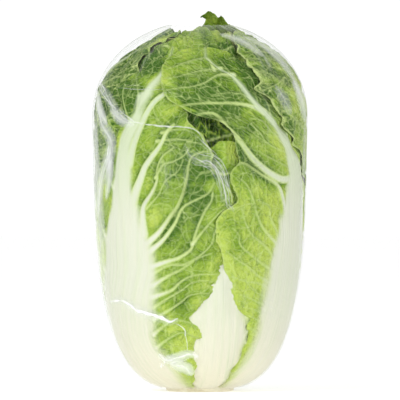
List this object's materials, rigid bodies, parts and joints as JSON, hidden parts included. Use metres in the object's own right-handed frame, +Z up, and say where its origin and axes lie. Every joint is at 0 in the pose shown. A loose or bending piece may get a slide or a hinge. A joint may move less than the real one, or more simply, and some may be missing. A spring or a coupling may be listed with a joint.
{
  "type": "napa cabbage",
  "caption": "Whole napa cabbage standing on its trimmed butt: overlapping crinkled leaves with broad white ribs round a dense heart, in a clear stretch-film sleeve.",
  "frame": {"origin": "centre of the butt's cut face, which the head stands on", "axes": "+Z up the head, -Y out of its front, +X to the right seen from the front"},
  "size_m": [0.1718, 0.1641, 0.3038],
  "materials": {
    "butt": "cut vegetable stem, cream, moist and fibrous",
    "outer_leaf": "crinkled green blade with pale veins and a broad white rib, waxy",
    "inner_leaf": "paler yellow-green blade with a white rib, waxy",
    "heart": "tight pale yellow inner leaves",
    "film": "clear glossy stretch film with creases"
  },
  "bodies": {
    "root": {"butt": "butt", "leaf_back": "outer_leaf", "leaf_right_back": "outer_leaf", "leaf_left_back": "outer_leaf", "leaf_right_front": "outer_leaf", "leaf_left_front": "outer_leaf", "leaf_front_inner": "outer_leaf", "leaf_front_crown": "outer_leaf", "leaf_right_inner": "inner_leaf", "leaf_left_inner": "inner_leaf", "leaf_right_back_inner": "inner_leaf", "leaf_left_back_inner": "inner_leaf", "heart": "heart", "film": "film"}
  },
  "joints": []
}
